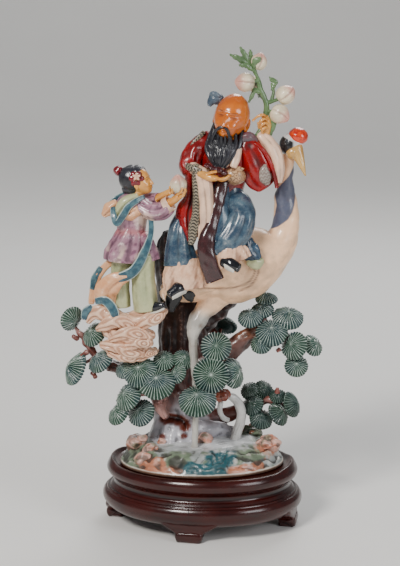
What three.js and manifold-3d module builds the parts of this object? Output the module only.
// A carved and painted figure group: a bearded elder rides side-saddle on a crane in front of a pine,
// and an attendant on a cloud offers a peach. The group lies in the top of a two-tier oval stand.
// Millimetres, +Z up. The front of the group faces -Y. While it is built, the origin is on the
// surface under the middle of the stand. At the end the whole is centred on its own bounding box.
import * as THREE from "three";
import { mergeVertices } from "three/addons/utils/BufferGeometryUtils.js";
import Module from "manifold-3d";

const wasm = await Module();
wasm.setup();

// Clearance kept between neighbouring pieces.
const GAP = 0.35;

// Thinning of the corners that joining and cutting leave.
const THIN = {
  joined: 0.2, // how far the surface may move after a join
  cut: 0.05, // and after a cut
  passes: 2,
  sliver: 0.02, // a smaller face may turn, and none is made
  keepsSide: 0.6, // least cosine between a face before and after
};

// Oval stand: half-widths of each tier along its long axis, heights above the table.
const STAND = {
  narrowness: 0.795, // short axis over long axis
  turn: -10, // degrees, the right end comes towards the viewer
  underside: 14,
  lowerTier: { foot: 84, belly: 92, bellyAt: 24.8, shoulder: 88.5, shoulderAt: 32 },
  ledge: { halfWidth: 83, at: 35.3 },
  waist: { halfWidth: 81, at: 41.5 },
  upperTier: { belly: 88, bellyAt: 49.6, rim: 84.5, rimAt: 55.9 },
  recess: { halfWidth: 76, at: 54.4 },
  sides: 28,
};

// Bracket feet at the ends of both axes: a flared outline, as half-widths at heights.
const FOOT = {
  outline: [
    [9.5, 0],
    [10.5, 3],
    [13, 6.5],
    [17.5, 10.5],
    [25, 14.5],
  ],
  depth: 15,
  inset: 3,
};

// Carved ground: an oval plateau with steep banks, which rises towards the back, and its rocks.
const GROUND = {
  halfLength: 74.5,
  halfWidth: 54,
  turn: -10,
  bottom: STAND.recess.at + GAP,
  rim: 57.5,
  mound: 17,
  steepness: 6, // power of the profile: the higher, the flatter the top and the steeper the bank
  backSlope: 0.17,
  slopeStart: -20,
  sides: 24,
  rings: 4,
};

// Rocks on the ground: x, y, z of the middle, then the half-size.
const ROCKS = [
  [-60, -2, 72, 11],
  [-46, -18, 69, 9],
  [-53, -27, 65, 8],
  [60, -4, 72, 11],
  [46, 20, 75, 12],
  [2, -6, 75, 10],
  [-14, 34, 78, 14],
];

// Bars below are lists of stations along a smooth path: x, y, z of the middle, then the half-width
// across and the half-depth towards the viewer.
const TRUNK = {
  stem: [
    [-24, 8, 63, 26, 22],
    [-25, 12, 78, 22, 19],
    [-26, 16, 104, 17, 15],
    [-19, 22, 134, 20, 16],
    [-18, 27, 168, 22, 17],
    [-21, 32, 205, 20, 15],
    [-28, 34, 238, 16, 12],
    [-31, 32, 262, 6, 5],
  ],
  prop: [
    [-12, 30, 170, 14, 12],
    [14, 28, 192, 15, 12],
    [34, 24, 214, 12, 10],
  ],
  rightLimb: [
    [-14, 22, 136, 12, 11],
    [12, 20, 147, 11, 10],
    [30, 20, 158, 9, 8],
    [44, 18, 170, 7, 6],
    [58, 14, 176, 5, 5],
  ],
  lowRightLimb: [
    [-10, 20, 92, 10, 9],
    [12, 24, 90, 8, 8],
    [34, 24, 96, 6.5, 6],
    [50, 18, 104, 5, 5],
  ],
  leftLimb: [
    [-26, 18, 140, 10, 9],
    [-48, 8, 136, 8, 7],
    [-68, 2, 140, 6, 6],
    [-84, -2, 146, 5, 5],
  ],
  stub: [
    [-30, 10, 112, 8, 8],
    [-36, -2, 110, 7, 7],
    [-36, -11, 101, 4, 4],
  ],
  roots: [
    [
      [-22, 0, 82, 9, 8],
      [-34, -3, 77, 7, 6],
      [-46, 1, 72, 4, 4],
    ],
    [
      [-14, 4, 84, 9, 9],
      [4, 6, 82, 9, 8],
      [22, 8, 80, 7, 6],
      [34, 6, 74, 4, 4],
    ],
    [
      [-30, 20, 84, 10, 9],
      [-42, 28, 77, 6, 5],
    ],
  ],
  hollow: { at: [-24, -12, 90], size: [11, 8, 7] },
};

const CRANE = {
  // From the tail over the breast and up the neck to the head.
  body: [
    [-34, 0, 207, 3, 7],
    [-22, 0, 214, 11, 14],
    [-2, 0, 223, 20, 19],
    [22, 0, 233, 32, 22],
    [46, 0, 240, 30, 22],
    [62, 0, 245, 26, 19],
    [75, 0, 257, 17, 15],
    [78.5, 0, 270, 12.5, 12],
    [76, -1, 284, 11.5, 9.5],
    [74.5, -1, 300, 9.5, 8],
    [75, -2, 316, 6, 6],
    [76.5, -3, 332, 5.2, 5.2],
    [78, -4, 342, 6, 6],
  ],
  head: { at: [80, -5, 346], size: [11, 8.5, 9.5] },
  crown: { at: [85.5, -6, 353], size: [8.2, 8, 7.5] },
  beak: [
    [83, -8, 343, 7, 6],
    [87.5, -11, 333, 4, 3.6],
    [90.4, -14, 321, 0.9, 0.9],
  ],
  wing: [
    [-34, -12, 212, 6, 5],
    [-14, -17, 222, 15, 7],
    [14, -19, 236, 19, 8],
    [38, -18, 244, 19, 8],
    [52, -14, 250, 13, 7],
  ],
  tailFeathers: [
    [
      [-8, -15, 222, 6, 5],
      [-10, -18, 216, 6.5, 4],
      [-10.5, -18, 208.5, 3, 2],
    ],
    [
      [-16, -12, 222, 7, 5],
      [-23, -17, 216, 7.5, 4.5],
      [-27, -18, 206, 5.5, 3.5],
      [-27.5, -18, 199, 2, 1.5],
    ],
    [
      [-20, -2, 214, 8, 6],
      [-31, -2, 208, 7, 5],
      [-36, -2, 199, 2, 2],
    ],
    [
      [-14, 12, 216, 7, 5],
      [-26, 14, 208, 7, 4.5],
      [-31, 14, 199, 2, 2],
    ],
  ],
  leg: [
    [12, -2, 214, 19, 14],
    [6, -4, 203, 12, 10],
    [0, -6, 193, 8.5, 7.5],
    [-5, -8, 183, 7, 6.5],
    [-6.5, -11, 172, 4.6, 4.6],
    [-5, -15, 155, 3.6, 3.6],
    [-5, -19, 125, 2.9, 2.9],
    [-6, -21, 95, 2.8, 2.8],
    [-6.6, -22, 70, 3.2, 3.2],
  ],
};

const ELDER = {
  // Seated body with the coat's back, from the seat to the neck.
  torso: [
    [10, 2, 268, 22, 15],
    [12, -1, 284, 25, 17],
    [16, -6, 304, 20, 16],
    [19, -9, 324, 21, 14],
    [20, -9, 344, 23, 13],
    [21, -10, 354, 13, 10],
    [22, -11, 362, 8, 8],
  ],
  belly: { at: [28, -20, 321], size: [11, 9, 9.5] },
  dome: { at: [27.5, -13, 377], size: [15.5, 15, 15.5] },
  face: { at: [22.5, -13, 363], size: [13.5, 13.5, 16] },
  knot: [
    [18, -7, 382, 4, 4],
    [12, -8, 387.5, 6.5, 5],
    [6.5, -8.5, 384, 5, 4],
    [4.5, -9, 379.5, 2.2, 2],
  ],
  beard: [
    [18, -22, 358, 15, 9],
    [16.5, -26, 349, 15.5, 8],
    [16, -29, 338, 11.5, 6],
    [17, -31, 328, 3, 2.5],
  ],
  lowArm: [
    [6, -8, 352, 10, 9],
    [-6, -12, 342, 9, 9],
    [-12, -17, 329, 8.5, 9],
    [-6, -25, 323, 8, 7],
    [3, -31, 323.5, 5.5, 5],
    [12, -34, 322.5, 4.5, 3.2],
    [22, -35, 325, 2.2, 2],
  ],
  heldThing: { at: [17.5, -35, 328.5], size: [7.5, 4, 3.2] },
  highArm: [
    [36, -8, 350, 11, 9],
    [42, -12, 337, 13, 10],
    [47, -14, 322, 14.5, 9.5],
    [50, -14, 308, 8.5, 6],
  ],
  sleeveTail: [
    [55, -14, 346, 6, 6],
    [61, -14, 334, 8, 7],
    [65, -14, 320, 8.5, 7],
    [67, -14, 310, 4, 4],
  ],
  raisedHand: [
    [50, -14, 338, 8, 7],
    [53, -14, 352, 6, 5.5],
    [54, -14, 360, 4.4, 4.2],
    [55, -14, 368, 6.5, 5.5],
    [53, -14, 374, 3.5, 3.5],
  ],
  coatPanel: [
    [-9, -16, 332, 8, 8],
    [-9, -20, 312, 8.5, 7],
    [-12, -22, 296, 9, 7],
    [-12, -26, 282, 8, 6],
    [-9, -30, 266, 4, 4],
  ],
  hangingSleeve: [
    [3, -28, 322, 5, 4],
    [4.5, -31, 304, 6.5, 4],
    [5, -33, 286, 7.5, 4.5],
    [4, -33, 272, 4.5, 3],
  ],
  sash: [
    [18, -24, 316, 6, 4],
    [14, -30, 300, 5.5, 3.5],
    [10, -34, 284, 5.5, 3.5],
    [2.5, -38, 264, 7.5, 3.5],
    [6, -39, 246, 8, 3],
    [12.5, -37, 226, 8, 2],
  ],
  rightLeg: [
    [20, 0, 284, 16, 15],
    [31, -17, 292, 14, 13],
    [34, -26, 286, 13, 11],
    [28, -32, 273, 16, 10],
    [20, -36, 259, 10, 8],
    [15, -38, 250, 4, 4],
  ],
  rightHem: [
    [24, -30, 262, 12, 7],
    [28, -33, 252, 15, 7],
    [31, -33, 244, 15.5, 5],
  ],
  rightFlap: [
    [36, -14, 276, 6, 6],
    [44, -20, 259, 9, 6],
    [49, -22, 248, 8, 4],
    [48, -22, 240, 6, 2.5],
  ],
  rightShoe: [
    [21, -33, 247, 5, 4.5],
    [26, -38, 243.5, 6, 4.5],
    [34, -42, 239.5, 3.5, 3],
  ],
  leftLeg: [
    [6, -2, 284, 15, 15],
    [-10, -13, 284, 11, 11],
    [-21, -20, 276, 9, 9],
    [-20, -24, 257, 13, 10],
    [-18, -26, 240, 15, 9],
  ],
  leftHem: [
    [-17, -25, 244, 16, 9],
    [-15, -27, 232, 18.5, 9],
    [-14, -27, 221, 17.5, 7],
  ],
  leftShoe: [
    [-18, -28, 225, 5, 5],
    [-22, -34, 221, 6, 5],
    [-29, -38, 215, 3.5, 3],
  ],
};

const PEACH_BRANCH = {
  stem: [
    [48, -14, 356, 2.2, 2.2],
    [54.5, -14, 367, 2.6, 2.6],
    [56, -14, 377, 3, 3],
    [55.5, -14, 386, 2.8, 2.8],
    [51, -14, 396, 2.8, 2.8],
    [49, -14, 404, 2.4, 2.4],
    [45.5, -14, 412.5, 2, 2],
    [41.5, -14, 419, 1.4, 1.4],
  ],
  twigs: [
    [
      [55.5, -14, 385, 2, 2],
      [60, -14, 385.5, 1.8, 1.8],
      [68, -13, 388, 1.4, 1.4],
    ],
    [
      [57, -14, 378, 2, 2],
      [62, -15, 376.5, 1.6, 1.6],
    ],
    [
      [60, -14, 385, 1.8, 1.8],
      [62.5, -11, 394, 1.6, 1.6],
      [61, -10, 401, 1, 1],
    ],
    [
      [50, -14, 400, 2, 2],
      [46, -7, 400, 1.6, 1.6],
    ],
    [
      [49.5, -14, 404, 2, 2],
      [43, -16, 403, 1.6, 1.6],
    ],
  ],
  // Peaches: x, y, z, radius, and the direction of the tip.
  peaches: [
    [49.5, -11, 419.5, 7.6, [0.3, 0.1, 1]],
    [37.8, -17, 402.5, 8.7, [-1, -0.2, 0.1]],
    [72.6, -12, 391, 8.8, [0.75, 0.1, 0.6]],
    [67.3, -17, 375, 8.8, [0.85, -0.1, -0.5]],
    [44.5, -2, 400, 7.4, [-0.3, 0.7, 0.5]],
  ],
  // Leaves: root, middle, tip, half-width.
  leaves: [
    [[44, -14, 414], [34, -15, 422], [24, -14, 426.5], 3.6],
    [[43, -14, 416], [37.5, -14, 425], [33, -14, 433], 3.2],
    [[42, -13, 418], [42.5, -12.5, 425], [41.7, -12, 430.5], 2.2],
    [[45, -15, 412], [38, -18, 417], [32, -18, 417.5], 3],
    [[44, -14, 413], [47, -18, 421], [51, -18, 424], 3.8],
    [[53, -15, 393], [46, -16, 395.5], [40.5, -17, 385], 3],
    [[61, -11, 395], [63.5, -10, 402], [58.5, -10, 407], 3.2],
    [[59, -15, 378], [62.5, -15, 367], [60.4, -14, 356], 3.2],
    [[55, -12, 386], [52, -4, 392], [50, 2, 388], 3.4],
  ],
};

const ATTENDANT = {
  head: { at: [-61.5, -17, 317], size: [12, 12, 13.5] },
  face: { at: [-54.5, -19, 312.5], size: [7.5, 8, 9] },
  bun: { at: [-74, -13, 324.5], size: [4.4, 4, 5] },
  flower: { at: [-57, -26, 320], size: [6.5, 4, 5.5] },
  neck: [
    [-60, -16, 300, 5, 5],
    [-59, -16.5, 308, 5, 5],
  ],
  torso: [
    [-63, -16, 268, 12, 10],
    [-62.5, -16, 276, 13, 10.5],
    [-62, -17, 288, 14.5, 11],
    [-62, -17, 297, 13.5, 10.5],
    [-60.5, -17, 304, 7, 6.5],
  ],
  skirt: [
    [-62, -16, 274, 11.5, 10],
    [-65, -17, 262, 15.5, 12],
    [-67, -17, 250, 20, 13.5],
    [-66, -17, 246, 18.5, 12],
  ],
  skirtFlare: [
    [-52, -17, 268, 6, 9],
    [-47, -18, 256, 7, 9],
    [-44.5, -18, 245, 8, 8],
  ],
  nearArm: [
    [-54, -20, 296, 8, 7],
    [-44, -25, 289.5, 8.5, 8],
    [-34, -29, 290, 8.5, 7.5],
    [-28, -31, 295, 6, 6],
  ],
  farArm: [
    [-52, -10, 298, 6, 6],
    [-44, -14, 300, 5.5, 6],
    [-38, -20, 301, 5, 5.5],
  ],
  forearms: [
    [
      [-30, -31, 296, 4, 4],
      [-25, -34, 301, 3.2, 3],
      [-20, -36, 306, 3.6, 3],
    ],
    [
      [-40, -20, 301, 3.6, 3.6],
      [-31, -27, 306, 3.2, 3.2],
      [-24, -34, 308, 3.4, 3],
    ],
  ],
  peach: [-21, -38, 315.5, 8, [-0.1, 0, 1]],
  collarFold: [
    [-70, -20, 299, 8, 5],
    [-80, -18, 292, 6.5, 5],
    [-87, -16, 286, 2.5, 3],
  ],
  shawl: [
    [-54, -26, 301, 3, 2.5],
    [-63, -29, 295, 3.6, 2.6],
    [-72, -29, 286, 4, 2.8],
    [-79, -26, 287, 4, 2.8],
    [-81, -21, 296, 3, 2.4],
  ],
  ribbon: [
    [-47, -26, 284, 2.8, 2.6],
    [-46, -26, 268, 3, 2.6],
    [-51, -29, 254, 4.2, 2.8],
    [-60, -31, 244, 4.6, 3],
    [-72, -30, 237, 5.6, 3],
    [-84, -27, 229, 9, 3.2],
    [-91, -22, 216, 9, 3.4],
    [-92, -20, 205, 6, 3],
  ],
  backRibbon: [
    [-78, -12, 248, 3.5, 2.2],
    [-88, -12, 238, 3.6, 2.2],
    [-97, -13, 226, 3.6, 2.2],
    [-99, -14, 212, 2.6, 2],
    [-103, -15, 202, 3, 2],
  ],
  curl: [
    [-92, -27, 202, 4, 3],
    [-82, -29, 203, 5, 3],
    [-75, -29, 196, 5, 3],
    [-74, -28, 188, 3, 2.4],
  ],
  nearLeg: [
    [-52, -20, 252, 10, 9],
    [-52, -20, 232, 10.5, 9.5],
    [-51.5, -20, 212, 11, 9.5],
    [-51, -20, 198, 11, 9],
  ],
  farLeg: [
    [-70, -14, 252, 9.5, 9],
    [-73, -14, 230, 8.5, 8.5],
    [-73, -14, 202, 9, 8],
  ],
  shoe: [
    [-46, -22, 201, 5, 4],
    [-40, -26, 203, 5.5, 4],
    [-33.5, -29, 205.5, 3, 2.4],
  ],
  // Lobes of the cloud, each a rolled tongue.
  cloud: [
    [
      [-101, -20, 191, 3, 4],
      [-90, -22, 195, 8, 8],
      [-78, -20, 192, 9, 10],
      [-64, -18, 190, 8, 10],
    ],
    [
      [-66, -16, 190, 8, 11],
      [-52, -20, 192, 8, 11],
      [-40, -22, 194, 7, 8],
      [-33, -22, 199, 3.5, 4],
    ],
    [
      [-84, -20, 182, 6, 8],
      [-72, -22, 178, 9, 12],
      [-58, -22, 180, 9, 12],
      [-46, -20, 178, 5, 8],
    ],
    [
      [-91, -18, 168, 5, 6],
      [-80, -20, 166, 8, 9],
      [-66, -20, 166, 9, 11],
      [-52, -18, 170, 7, 9],
    ],
    [
      [-76, -18, 160, 4, 6],
      [-62, -18, 158, 5, 8],
      [-50, -10, 160, 5, 7],
      [-40, 6, 160, 5, 6],
      [-30, 18, 162, 5, 5],
    ],
  ],
};

const LINGZHI = {
  stems: [
    [
      [31, -2, 70, 5, 5],
      [32.5, -3, 82, 4.4, 4.4],
      [34, -4, 98, 4.8, 4.8],
      [31, -5, 110, 4, 4],
      [25, -6, 117, 2.6, 2.6],
    ],
    [
      [31, -4, 88, 3, 3],
      [24, -6, 89, 2.8, 2.8],
      [16.5, -8, 97, 2.6, 2.6],
      [17, -8, 112, 2.6, 2.6],
    ],
  ],
  cap: { at: [18.4, -9, 119], size: [7.8, 6.8, 7] },
};

// Pine pads: x, y, z, radius, degrees it tips over from level, and the way it tips
// (0 to the viewer, 90 to the right, -90 to the left, 180 away).
const PADS = {
  rim: 16,
  rise: 0.34,
  ridge: 0.07,
  notch: 0.035,
  stalk: 1.7,
  hold: 0.55, // how far out from its middle a pad is held
  roughness: 0.6,
};
const SPRAYS = {
  pine_spray_left: {
    colour: 0x4f7a66,
    twig: [
      [-84, 0, 146, 4, 4],
      [-94, -3, 154, 3.4, 3.4],
      [-104, -4, 166, 3, 3],
      [-112, -4, 178, 2.4, 2.4],
    ],
    pads: [
      [-117, -7, 190, 11.5, 78, 18],
      [-97, -12, 177, 12, 52, -40],
      [-114, -13, 145, 15.5, 64, -68],
      [-91, -18, 154, 12.5, 44, -48],
    ],
  },
  pine_spray_front_left: {
    colour: 0x4a7a64,
    twig: [
      [-34, -6, 118, 5, 5],
      [-42, -14, 124, 4, 4],
      [-54, -15, 124, 3.4, 3.4],
      [-66, -14, 118, 2.6, 2.6],
    ],
    pads: [
      [-70, -16, 146, 9.5, 55, -42],
      [-55, -24, 145, 15.5, 46, -18],
      [-40, -30, 136.5, 16.5, 44, -6],
      [-66, -25, 123, 13.5, 56, -44],
      [-75, -20, 106, 12, 50, -55],
      [-55, -19, 106, 13, 58, -28],
      [-34, -16, 154, 10, 46, 0],
      [-16.5, -13, 154, 10, 52, 15],
      [-22, -22, 143, 9.5, 58, -45],
    ],
  },
  pine_spray_front: {
    colour: 0x5a8a74,
    twig: [
      [16, 8, 144, 5, 5],
      [14, -6, 140, 4, 4],
      [8, -16, 136, 3.4, 3.4],
      [0, -22, 128, 2.6, 2.6],
    ],
    pads: [
      [-4, -36, 122, 17, 40, -5],
      [8, -32, 144, 16.5, 74, 0],
      [12.5, -24, 168, 13.8, 66, 0],
      [28, -20, 143, 14, 70, 52],
    ],
  },
  pine_spray_right_upper: {
    colour: 0x5d8c78,
    twig: [
      [57, 13, 176, 4.6, 4.6],
      [66, 10, 172, 4, 4],
      [80, 8, 170, 3, 3],
      [94, 8, 166, 2.2, 2.2],
    ],
    pads: [
      [59, 20, 203, 10.5, 14, 0],
      [55, 14, 194, 10.5, 30, -10],
      [44, 6, 188.5, 11.5, 36, -8],
      [78, 8, 188, 14.5, 30, 8],
      [63, -4, 177, 14.5, 45, -4],
      [54, -5, 167, 10.5, 52, -22],
      [83, -6, 165, 13, 68, -32],
      [101, 4, 163, 10.5, 58, 42],
      [85.5, -4, 146, 10.8, 60, 0],
    ],
  },
  pine_spray_right_lower: {
    colour: 0x47705f,
    twig: [
      [50, 17, 104, 4.6, 4.6],
      [58, 14, 108, 3.6, 3.6],
      [68, 10, 108, 3, 3],
      [76, 8, 104, 2, 2],
    ],
    pads: [
      [44, 14, 118, 9, 50, -20],
      [57, 18, 118, 9.5, 50, 25],
      [46.5, 4, 107, 10.5, 55, -30],
      [54, 0, 95, 11, 42, 15],
      [70, -1, 100, 11.5, 56, 52],
      [69.5, 6, 115, 8, 40, 0],
      [82, 2, 108, 12, 68, 60],
    ],
  },
  pine_spray_back: {
    colour: 0x47705f,
    twig: [
      [-18, 40, 176, 5, 5],
      [-8, 50, 172, 4, 4],
      [8, 54, 166, 3.4, 3.4],
      [20, 53, 158, 2.4, 2.4],
    ],
    pads: [
      [-22, 60, 184, 15, 52, 186],
      [6, 64, 178, 16, 50, 172],
      [20, 57, 171, 13.5, 48, 158],
      [-14, 62, 156, 15, 60, 188],
      [14, 62, 150, 15, 62, 170],
      [24, 55, 146, 12, 56, 150],
    ],
  },
};

// Painted finishes: colour, roughness.
const FINISH = {
  stand: [0x3d1812, 0.28],
  ground: [0xb9b7a8, 0.6],
  trunk: [0x5a3f38, 0.55],
  crane: [0xdcc0a4, 0.42],
  elder: [0x9c2a2e, 0.38],
  branch: [0xb9cbb5, 0.45],
  attendant: [0xb08f9c, 0.45],
  lingzhi: [0xb9b3a6, 0.5],
};

const FRONT = new THREE.Vector3(0, -1, 0);
const UP = new THREE.Vector3(0, 0, 1);
const radians = THREE.MathUtils.degToRad;

// A closed three.js geometry as a solid.
function solidOf(geometry) {
  geometry.deleteAttribute("normal");
  geometry.deleteAttribute("uv");
  const merged = mergeVertices(geometry, 1e-4);
  const mesh = new wasm.Mesh({
    numProp: 3,
    vertProperties: merged.attributes.position.array,
    triVerts: new Uint32Array(merged.index.array),
  });
  return new wasm.Manifold(mesh);
}

// The faces of a solid as a three.js geometry.
function geometryOf(solid) {
  const { vertProperties, triVerts } = solid.getMesh();
  const geometry = new THREE.BufferGeometry();
  geometry.setAttribute("position", new THREE.BufferAttribute(new Float32Array(vertProperties), 3));
  geometry.setIndex(new THREE.BufferAttribute(new Uint32Array(triVerts), 1));
  return geometry;
}

// The corners of a geometry as vectors.
function cornersOf(geometry) {
  const { position } = geometry.attributes;
  const cornerAt = (_, i) => new THREE.Vector3().fromBufferAttribute(position, i);
  return Array.from({ length: position.count }, cornerAt);
}

// Thins out the corners of a solid. A corner is drawn into one of its neighbours where the surface
// then moves by less than the tolerance, no face turns over and the surface stays closed.
function thinned(solid, tolerance) {
  const geometry = geometryOf(solid);
  const index = [...geometry.index.array];
  const corners = cornersOf(geometry);
  const faces = Array.from({ length: index.length / 3 }, (_, i) => index.slice(3 * i, 3 * i + 3));
  const facesAt = corners.map(() => new Set());
  faces.forEach((face, i) => face.forEach((corner) => facesAt[corner].add(i)));

  const swapped = (face, from, to) => face.map((corner) => (corner === from ? to : corner));
  const triangleOf = (face) => new THREE.Triangle(...face.map((corner) => corners[corner]));
  const normalOf = (triangle) => triangle.getNormal(new THREE.Vector3());
  const ringOf = (corner) => {
    const ring = new Set([...facesAt[corner]].flatMap((i) => faces[i]));
    ring.delete(corner);
    return ring;
  };

  // How far the surface moves if one corner is drawn into another, or infinity where it can't be.
  const costOf = (from, to) => {
    const ring = ringOf(to);
    if ([...ringOf(from)].filter((corner) => ring.has(corner)).length !== 2) return Infinity;
    const kept = [...facesAt[from]].map((i) => faces[i]).filter((face) => !face.includes(to));
    const costs = kept.map((face) => {
      const before = triangleOf(face);
      const after = triangleOf(swapped(face, from, to));
      const turns = normalOf(after).dot(normalOf(before)) < THIN.keepsSide;
      if (after.getArea() < THIN.sliver || (turns && before.getArea() > THIN.sliver)) return Infinity;
      return Math.abs(normalOf(after).dot(corners[from].clone().sub(corners[to])));
    });
    return Math.max(...costs);
  };

  const draw = (from, to) => {
    for (const i of facesAt[from]) {
      if (faces[i].includes(to)) {
        faces[i].forEach((corner) => facesAt[corner].delete(i));
        faces[i] = [];
      } else {
        faces[i] = swapped(faces[i], from, to);
        facesAt[to].add(i);
      }
    }
    facesAt[from].clear();
  };

  for (let pass = 0; pass < THIN.passes; pass += 1) {
    corners.forEach((_, from) => {
      const options = [...ringOf(from)].map((to) => ({ to, cost: costOf(from, to) }));
      const best = options.reduce((a, b) => (b.cost < a.cost ? b : a), { cost: tolerance });
      if (best.cost < tolerance) draw(from, best.to);
    });
  }
  geometry.setIndex(faces.flat());
  return solidOf(geometry);
}

// The sum of several solids, without the extra corners along their seams.
function join(solids) {
  return thinned(
    solids.reduce((whole, solid) => whole.add(solid)),
    THIN.joined,
  );
}

// A solid grown by the gap: each corner moves out along the mean direction of the faces round it.
function grown(solid) {
  const geometry = geometryOf(solid);
  geometry.computeVertexNormals();
  const outward = new THREE.Vector3();
  return solidOf(
    reshape(geometry, (corner, i) => {
      outward.fromBufferAttribute(geometry.attributes.normal, i);
      corner.addScaledVector(outward, GAP);
    }),
  );
}

// A solid as a named mesh with its finish.
function meshOf(name, solid, [colour, roughness]) {
  const geometry = geometryOf(solid);
  geometry.computeVertexNormals();
  const material = new THREE.MeshStandardMaterial({ color: colour, roughness, metalness: 0 });
  const mesh = new THREE.Mesh(geometry, material);
  mesh.name = name;
  return mesh;
}

// Moves each corner of a geometry to where the shape function puts it.
function reshape(geometry, place) {
  cornersOf(geometry).forEach((vertex, i) => {
    place(vertex, i);
    geometry.attributes.position.setXYZ(i, vertex.x, vertex.y, vertex.z);
  });
  return geometry;
}

// A closed bar along a smooth path through its stations, with an elliptical section whose
// half-widths run smoothly from station to station. Lobes make folds that run along the bar.
function bar(stations, { sides = 8, lobes = 0, depth = 0, facing = FRONT } = {}) {
  const centres = new THREE.CatmullRomCurve3(stations.map(([x, y, z]) => new THREE.Vector3(x, y, z)));
  const widths = new THREE.CatmullRomCurve3(stations.map(([, , , a, b]) => new THREE.Vector3(a, b, 0)));
  const geometry = new THREE.CylinderGeometry(1, 1, 1, sides, stations.length - 1);
  return solidOf(
    reshape(geometry, (vertex) => {
      const t = THREE.MathUtils.clamp(vertex.y + 0.5, 0, 1);
      const angle = Math.atan2(vertex.z, vertex.x);
      const reach = Math.hypot(vertex.x, vertex.z) * (1 + depth * Math.cos(lobes * angle));
      const along = centres.getTangent(t);
      const front = facing.clone().addScaledVector(along, -facing.dot(along)).normalize();
      const side = along.clone().cross(front);
      const width = widths.getPoint(t);
      vertex
        .copy(centres.getPoint(t))
        .addScaledVector(side, width.x * Math.cos(angle) * reach)
        .addScaledVector(front, width.y * Math.sin(angle) * reach);
    }),
  );
}

// An ellipsoid, tipped over by an angle in the plane of the front.
function ball({ at, size }, { tip = 0, across = 8, down = 6 } = {}) {
  const geometry = new THREE.SphereGeometry(1, across, down);
  geometry.rotateX(Math.PI / 2);
  geometry.scale(...size);
  geometry.rotateY(radians(tip));
  geometry.translate(...at);
  return solidOf(geometry);
}

// A peach: a lathe outline from the stalk end to the pointed tip, turned to face its direction.
function peach([x, y, z, radius, direction]) {
  const outline = [
    [0, -0.95],
    [0.82, -0.62],
    [0.96, 0.2],
    [0.5, 0.88],
    [0, 1.22],
  ].map(([r, h]) => new THREE.Vector2(r * radius, h * radius));
  const geometry = new THREE.LatheGeometry(outline, 7);
  const aim = new THREE.Vector3(...direction).normalize();
  geometry.applyQuaternion(new THREE.Quaternion().setFromUnitVectors(new THREE.Vector3(0, 1, 0), aim));
  geometry.translate(x, y, z);
  return solidOf(geometry);
}

// A leaf: a thin bar with a diamond section, so that it has a mid rib.
function leaf([root, middle, tip, halfWidth]) {
  const stations = [
    [...root, halfWidth * 0.35, 1],
    [...middle, halfWidth, 1],
    [...tip, 0.5, 0.5],
  ];
  return bar(stations, { sides: 4 });
}

// The direction that a pine pad faces.
function padFacing(tip, heading) {
  const lean = Math.sin(radians(tip));
  const way = radians(heading);
  return new THREE.Vector3(lean * Math.sin(way), -lean * Math.cos(way), Math.cos(radians(tip)));
}

// A pine pad: a shallow umbrella with a zigzag rim, ridged from its apex to the rim.
function pad([x, y, z, radius, tip, heading]) {
  const geometry = new THREE.SphereGeometry(1, PADS.rim, 2);
  geometry.rotateX(Math.PI / 2);
  const aim = new THREE.Quaternion().setFromUnitVectors(UP, padFacing(tip, heading));
  reshape(geometry, (vertex) => {
    const spoke = Math.round((Math.atan2(vertex.y, vertex.x) / (2 * Math.PI)) * PADS.rim);
    const zigzag = spoke % 2 === 0 ? 1 : -1;
    const onRim = Math.hypot(vertex.x, vertex.y) > 0.5;
    const out = onRim ? radius * (1 + zigzag * PADS.notch) : 0;
    const lift = radius * (onRim ? zigzag * PADS.ridge : vertex.z * PADS.rise);
    vertex.setLength(1).setZ(0).multiplyScalar(out).setZ(lift).applyQuaternion(aim);
  });
  geometry.translate(x, y, z);
  return solidOf(geometry);
}

// A spray of pine: its twig, the pads, and a stalk from each pad to the nearest part of the twig.
function spray({ twig, pads }) {
  const path = new THREE.CatmullRomCurve3(twig.map(([x, y, z]) => new THREE.Vector3(x, y, z)));
  const places = path.getPoints(16);
  const stalks = pads.map(([x, y, z, radius, tip, heading]) => {
    const middle = new THREE.Vector3(x, y, z);
    const facing = padFacing(tip, heading);
    const under = middle.clone().addScaledVector(facing, -PADS.rise * radius);
    const root = places.reduce((a, b) => (b.distanceTo(under) < a.distanceTo(under) ? b : a));
    const inward = root.clone().sub(middle).projectOnPlane(facing).clampLength(0, radius * PADS.hold);
    const ends = [root, middle.clone().add(inward)];
    const stations = ends.map((end) => [...end.toArray(), PADS.stalk, PADS.stalk]);
    return bar(stations, { sides: 3, facing: new THREE.Vector3(0.31, -0.6, 0.42) });
  });
  return join([bar(twig, { sides: 6 }), ...stalks, ...pads.map(pad)]);
}

// The turned part of the stand, from a lathe outline squeezed to an oval.
function standBody() {
  const { lowerTier: low, upperTier: high, ledge, waist, recess } = STAND;
  const outline = [
    [0, STAND.underside],
    [low.foot, STAND.underside],
    [low.belly - 1.5, low.bellyAt - 5],
    [low.belly, low.bellyAt],
    [low.shoulder, low.shoulderAt],
    [ledge.halfWidth, ledge.at],
    [waist.halfWidth, waist.at],
    [high.belly, high.bellyAt],
    [high.rim, high.rimAt],
    [recess.halfWidth, recess.at],
    [0, recess.at],
  ].map(([r, h]) => new THREE.Vector2(r, h));
  const geometry = new THREE.LatheGeometry(outline, STAND.sides);
  geometry.rotateX(Math.PI / 2);
  geometry.scale(1, STAND.narrowness, 1);
  return solidOf(geometry);
}

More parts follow.
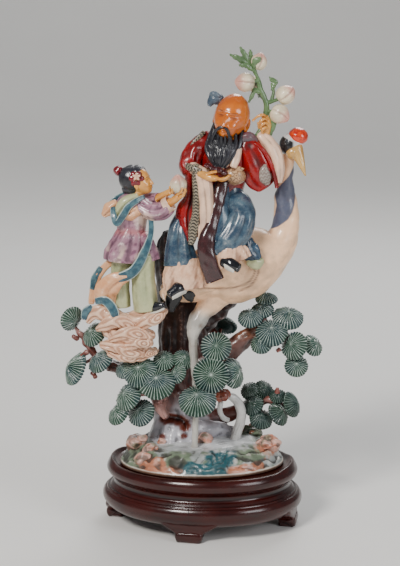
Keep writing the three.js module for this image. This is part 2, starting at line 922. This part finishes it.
// A bracket foot: the flared outline on both sides, given its depth, facing out at an angle.
function foot(angle) {
  const shape = new THREE.Shape();
  const right = FOOT.outline.map(([w, h]) => new THREE.Vector2(w, h));
  const left = FOOT.outline.map(([w, h]) => new THREE.Vector2(-w, h)).reverse();
  shape.setFromPoints([...right, ...left]);
  const geometry = new THREE.ExtrudeGeometry(shape, { depth: FOOT.depth, bevelEnabled: false });
  geometry.rotateX(Math.PI / 2);
  const along = Math.abs(Math.cos(angle)) + Math.abs(Math.sin(angle)) * STAND.narrowness;
  geometry.translate(0, -(STAND.lowerTier.foot * along + FOOT.inset) + FOOT.depth, 0);
  geometry.rotateZ(angle + Math.PI / 2);
  return solidOf(geometry);
}

function makeStand() {
  const feet = [0, 1, 2, 3].map((quarter) => foot((quarter * Math.PI) / 2));
  return join([standBody(), ...feet]).rotate([0, 0, STAND.turn]);
}

// Height of the carved ground at a point of its oval, given as a share of the way to the rim.
function groundHeight(share, y) {
  const mound = GROUND.mound * (1 - share ** GROUND.steepness);
  const slope = GROUND.backSlope * Math.max(0, y - GROUND.slopeStart) * (1 - share ** 4);
  return GROUND.rim + mound + slope;
}

// The ground: a lathe disc squeezed to an oval, its top lifted to the ground's height. Its rings lie
// closer together towards the steep bank.
function makeGround() {
  const shares = Array.from({ length: GROUND.rings + 1 }, (_, i) => 1 - (i / GROUND.rings) ** 2);
  const outline = [new THREE.Vector2(0, 0), new THREE.Vector2(1, 0)];
  outline.push(...shares.map((share) => new THREE.Vector2(share, 1)));
  const geometry = new THREE.LatheGeometry(outline, GROUND.sides);
  geometry.rotateX(Math.PI / 2);
  geometry.rotateZ(radians(GROUND.turn));
  reshape(geometry, (vertex) => {
    const share = Math.hypot(vertex.x, vertex.y);
    const top = vertex.z > 0.5;
    vertex.x *= GROUND.halfLength;
    vertex.y *= GROUND.halfWidth;
    vertex.z = top ? groundHeight(share, vertex.y) : GROUND.bottom;
  });
  const rocks = ROCKS.map(([x, y, z, size]) =>
    ball({ at: [x, y, z], size: [size, size * 0.8, size * 0.7] }, { across: 6, down: 3, tip: x }),
  );
  return join([solidOf(geometry), ...rocks]);
}

function makeTrunk() {
  const bark = { sides: 8, lobes: 4, depth: 0.08 };
  const limbs = [TRUNK.prop, TRUNK.rightLimb, TRUNK.lowRightLimb, TRUNK.leftLimb, TRUNK.stub];
  const thin = { sides: 5 };
  const wood = join([
    bar(TRUNK.stem, bark),
    ...limbs.map((limb) => bar(limb, thin)),
    ...TRUNK.roots.map((root) => bar(root, thin)),
  ]);
  return wood.subtract(ball(TRUNK.hollow, { tip: 30, across: 6, down: 4 }));
}

function makeCrane() {
  const plain = { sides: 8 };
  const thin = { sides: 5 };
  const farWing = CRANE.wing.map(([x, y, z, a, b]) => [x, -y, z, a, b]);
  return join([
    bar(CRANE.body, { sides: 10 }),
    ball(CRANE.head, { across: 7, down: 5 }),
    ball(CRANE.crown, { across: 7, down: 4 }),
    bar(CRANE.beak, thin),
    bar(CRANE.wing, { ...plain, sides: 6 }),
    bar(farWing, { ...plain, sides: 6 }),
    ...CRANE.tailFeathers.map((feather) => bar(feather, thin)),
    bar(CRANE.leg, { ...plain, sides: 6 }),
  ]);
}

// The seated elder: dress, head, hands and shoes in one carving.
function makeElder() {
  const cloth = { sides: 8, lobes: 4, depth: 0.07 };
  const plain = { sides: 8 };
  const thin = { sides: 6 };
  const slim = { sides: 5 };
  return join([
    bar(ELDER.torso, plain),
    ball(ELDER.belly, { across: 6, down: 4 }),
    ball(ELDER.dome, { across: 9, down: 5 }),
    ball(ELDER.face, { across: 7, down: 5, tip: 18 }),
    bar(ELDER.knot, slim),
    bar(ELDER.beard, cloth),
    bar(ELDER.lowArm, thin),
    ball(ELDER.heldThing, { across: 5, down: 3, tip: 30 }),
    bar(ELDER.highArm, cloth),
    bar(ELDER.sleeveTail, thin),
    bar(ELDER.raisedHand, slim),
    bar(ELDER.coatPanel, slim),
    bar(ELDER.hangingSleeve, slim),
    bar(ELDER.sash, { ...thin, sides: 4 }),
    bar(ELDER.rightLeg, cloth),
    bar(ELDER.rightHem, cloth),
    bar(ELDER.rightFlap, slim),
    bar(ELDER.rightShoe, slim),
    bar(ELDER.leftLeg, cloth),
    bar(ELDER.leftHem, cloth),
    bar(ELDER.leftShoe, slim),
  ]);
}

function makePeachBranch() {
  const thin = { sides: 5 };
  return join([
    bar(PEACH_BRANCH.stem, thin),
    ...PEACH_BRANCH.twigs.map((twig) => bar(twig, { ...thin, sides: 4 })),
    ...PEACH_BRANCH.peaches.map(peach),
    ...PEACH_BRANCH.leaves.map(leaf),
  ]);
}

// The attendant with shawl and ribbons, and the cloud underfoot, in one carving.
function makeAttendant() {
  const plain = { sides: 8 };
  const thin = { sides: 6 };
  const slim = { sides: 4 };
  return join([
    ball(ATTENDANT.head, { across: 8, down: 5 }),
    ball(ATTENDANT.face, { across: 6, down: 4 }),
    ball(ATTENDANT.bun, { across: 5, down: 4 }),
    ball(ATTENDANT.flower, { across: 5, down: 4 }),
    bar(ATTENDANT.neck, thin),
    bar(ATTENDANT.torso, plain),
    bar(ATTENDANT.skirt, { sides: 8, lobes: 4, depth: 0.07 }),
    bar(ATTENDANT.skirtFlare, thin),
    bar(ATTENDANT.nearArm, thin),
    bar(ATTENDANT.farArm, thin),
    ...ATTENDANT.forearms.map((arm) => bar(arm, slim)),
    peach(ATTENDANT.peach),
    bar(ATTENDANT.collarFold, slim),
    bar(ATTENDANT.shawl, slim),
    bar(ATTENDANT.ribbon, slim),
    bar(ATTENDANT.backRibbon, slim),
    bar(ATTENDANT.curl, slim),
    bar(ATTENDANT.nearLeg, thin),
    bar(ATTENDANT.farLeg, thin),
    bar(ATTENDANT.shoe, thin),
    ...ATTENDANT.cloud.map((lobe) => bar(lobe, thin)),
  ]);
}

function makeLingzhi() {
  const stem = { sides: 6 };
  return join([...LINGZHI.stems.map((one) => bar(one, stem)), ball(LINGZHI.cap, { tip: -15 })]);
}

// A solid with room left around each of its neighbours.
function clearOf(solid, ...neighbours) {
  const cut = neighbours.map(grown).reduce((left, neighbour) => left.subtract(neighbour), solid);
  return thinned(cut, THIN.cut);
}

const stand = makeStand();
const ground = makeGround();
const branch = makePeachBranch();
const elder = clearOf(makeElder(), branch);
const attendant = clearOf(makeAttendant(), elder);
const crane = clearOf(makeCrane(), ground, elder, attendant);
const trunk = clearOf(makeTrunk(), ground, elder, attendant, crane);
const lingzhi = clearOf(makeLingzhi(), ground, trunk);

const group = new THREE.Group();
group.add(meshOf("stand", stand, FINISH.stand));
group.add(meshOf("ground", ground, FINISH.ground));
group.add(meshOf("peach_branch", branch, FINISH.branch));
group.add(meshOf("elder", elder, FINISH.elder));
group.add(meshOf("attendant", attendant, FINISH.attendant));
group.add(meshOf("crane", crane, FINISH.crane));
group.add(meshOf("pine_trunk", trunk, FINISH.trunk));
group.add(meshOf("lingzhi", lingzhi, FINISH.lingzhi));
for (const [name, parts] of Object.entries(SPRAYS)) {
  const pine = clearOf(spray(parts), ground, elder, attendant, crane, trunk);
  group.add(meshOf(name, pine, [parts.colour, PADS.roughness]));
}

// The origin goes to the middle of the whole, on the surface that it stands on.
const whole = new THREE.Box3().setFromObject(group, true);
const middle = whole.getCenter(new THREE.Vector3());
group.position.set(-middle.x, -middle.y, 0);

export default group;
